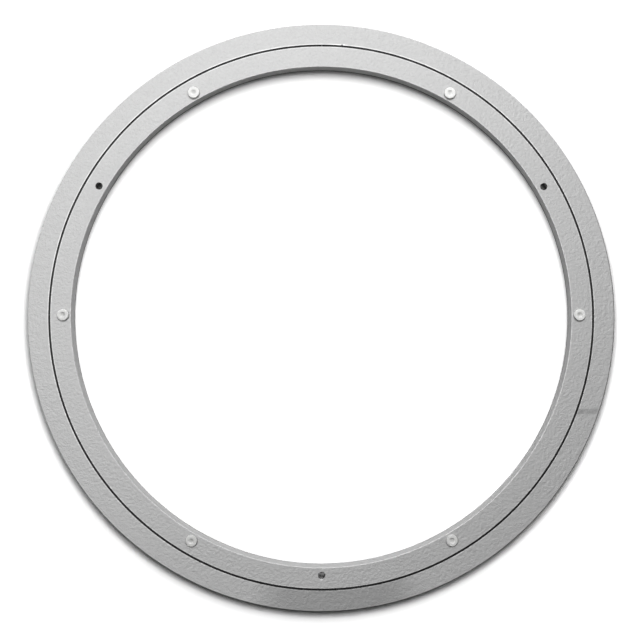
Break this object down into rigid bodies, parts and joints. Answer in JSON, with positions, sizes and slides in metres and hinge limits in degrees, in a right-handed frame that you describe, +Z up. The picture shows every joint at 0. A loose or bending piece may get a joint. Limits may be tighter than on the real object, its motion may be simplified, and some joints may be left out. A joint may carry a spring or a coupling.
{
  "type": "lazy susan bearing",
  "caption": "Low round turntable bearing: an inner and an outer ring of hollow aluminium section that turn on caged steel balls, with soft buttons that carry a tray.",
  "frame": {"origin": "on the table under the middle of the rings", "axes": "+Z up along the axis that the rings turn about; +X to the right and +Y to the top of the picture, which looks straight down"},
  "size_m": [0.4599, 0.46, 0.0125],
  "materials": {
    "outer_ring": "satin anodised",
    "inner_ring": "satin anodised",
    "cage_plastic": "black moulded nylon",
    "ball_steel": "polished steel",
    "bumper_silicone": "pale grey soft silicone",
    "foot_silicone": "pale grey soft silicone"
  },
  "bodies": {
    "base": {"outer_ring": "outer_ring", "foot_1": "foot_silicone", "foot_2": "foot_silicone", "foot_3": "foot_silicone", "foot_4": "foot_silicone", "foot_5": "foot_silicone", "foot_6": "foot_silicone"},
    "turntable": {"inner_ring": "inner_ring", "tray_bumper_1": "bumper_silicone", "tray_bumper_2": "bumper_silicone", "tray_bumper_3": "bumper_silicone", "tray_bumper_4": "bumper_silicone", "tray_bumper_5": "bumper_silicone", "tray_bumper_6": "bumper_silicone"},
    "ball_cage": {"cage_strip_1": "cage_plastic", "cage_strip_2": "cage_plastic", "cage_strip_3": "cage_plastic", "cage_strip_4": "cage_plastic", "cage_strip_5": "cage_plastic", "cage_strip_6": "cage_plastic", "cage_strip_7": "cage_plastic", "cage_strip_8": "cage_plastic", "ball_set_1": "ball_steel", "ball_set_2": "ball_steel", "ball_set_3": "ball_steel", "ball_set_4": "ball_steel", "ball_set_5": "ball_steel", "ball_set_6": "ball_steel", "ball_set_7": "ball_steel", "ball_set_8": "ball_steel"}
  },
  "joints": [
    {"name": "ring_spin", "type": "hinge", "parent": "base", "child": "turntable", "pos_m": [0, 0, 0.00625], "axis": [0, 0, 1], "continuous": true},
    {"name": "cage_spin", "type": "hinge", "parent": "base", "child": "ball_cage", "pos_m": [0, 0, 0.00625], "axis": [0, 0, 1], "continuous": true}
  ],
  "couplings": [
    {"joint": "cage_spin", "follows": "ring_spin", "ratio": 0.4953}
  ]
}
